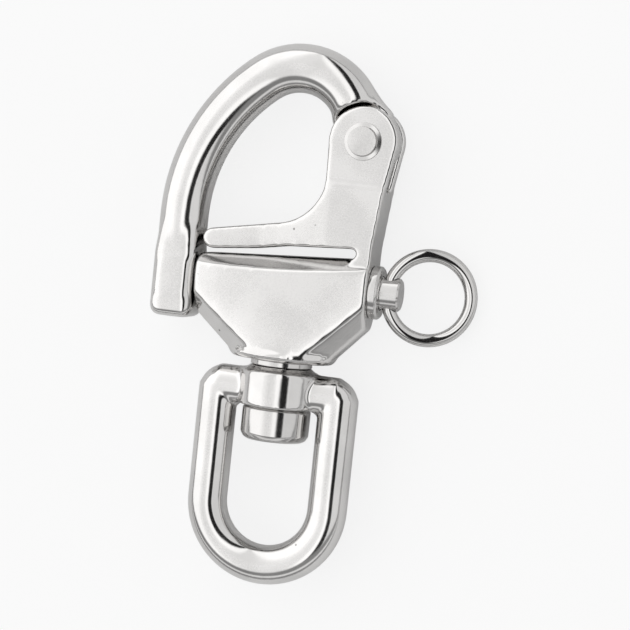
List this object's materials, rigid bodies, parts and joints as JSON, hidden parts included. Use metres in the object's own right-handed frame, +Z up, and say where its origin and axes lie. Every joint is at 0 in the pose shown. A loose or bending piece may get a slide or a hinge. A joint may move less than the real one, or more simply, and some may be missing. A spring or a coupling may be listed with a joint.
{
  "type": "snap shackle",
  "caption": "Swivel-eye snap shackle in polished stainless steel: a curved jaw hinged on a forked body, locked by a sprung plunger with a pull ring.",
  "frame": {"origin": "centre of the round end of the swivel eye, in the shackle's middle plane", "axes": "+X across the shackle towards the pull ring, +Y along it from the eye to the crown of the jaw, +Z up out of its flat side as it lies"},
  "size_m": [0.0772, 0.1285, 0.02],
  "materials": {
    "cast_steel": "investment-cast stainless steel, tumbled and polished bright, with a fine orange-peel",
    "turned_steel": "turned stainless steel, polished, with faint lathe marks",
    "ring_wire": "drawn stainless wire, polished",
    "spring_wire": "hard-drawn stainless spring wire"
  },
  "bodies": {
    "shackle_body": {"body": "cast_steel", "swivel_stud": "turned_steel", "hinge_pin": "turned_steel", "gland_bush": "turned_steel", "swivel_washer": "turned_steel", "release_spring": "spring_wire"},
    "jaw": {"jaw": "cast_steel"},
    "plunger": {"plunger": "turned_steel"},
    "pull_ring": {"pull_ring": "ring_wire"},
    "swivel_eye": {"swivel_eye": "cast_steel"}
  },
  "joints": [
    {"name": "jaw_hinge", "type": "hinge", "parent": "shackle_body", "child": "jaw", "pos_m": [0.0151, 0.0874, 0], "axis": [0, 0, -1], "range_deg": [0, 95]},
    {"name": "plunger_slide", "type": "slide", "parent": "shackle_body", "child": "plunger", "axis": [1, 0, 0], "range_m": [0, 0.0038], "stiffness_N_per_m": 1500, "springref_m": -0.004, "deforming": ["release_spring"]},
    {"name": "ring_swing", "type": "hinge", "parent": "plunger", "child": "pull_ring", "pos_m": [0.0241, 0.0527, 0], "axis": [0, 1, 0], "range_deg": [-118, 70]},
    {"name": "eye_swivel", "type": "hinge", "parent": "shackle_body", "child": "swivel_eye", "pos_m": [0, 0.0275, 0], "axis": [0, 1, 0], "continuous": true}
  ]
}
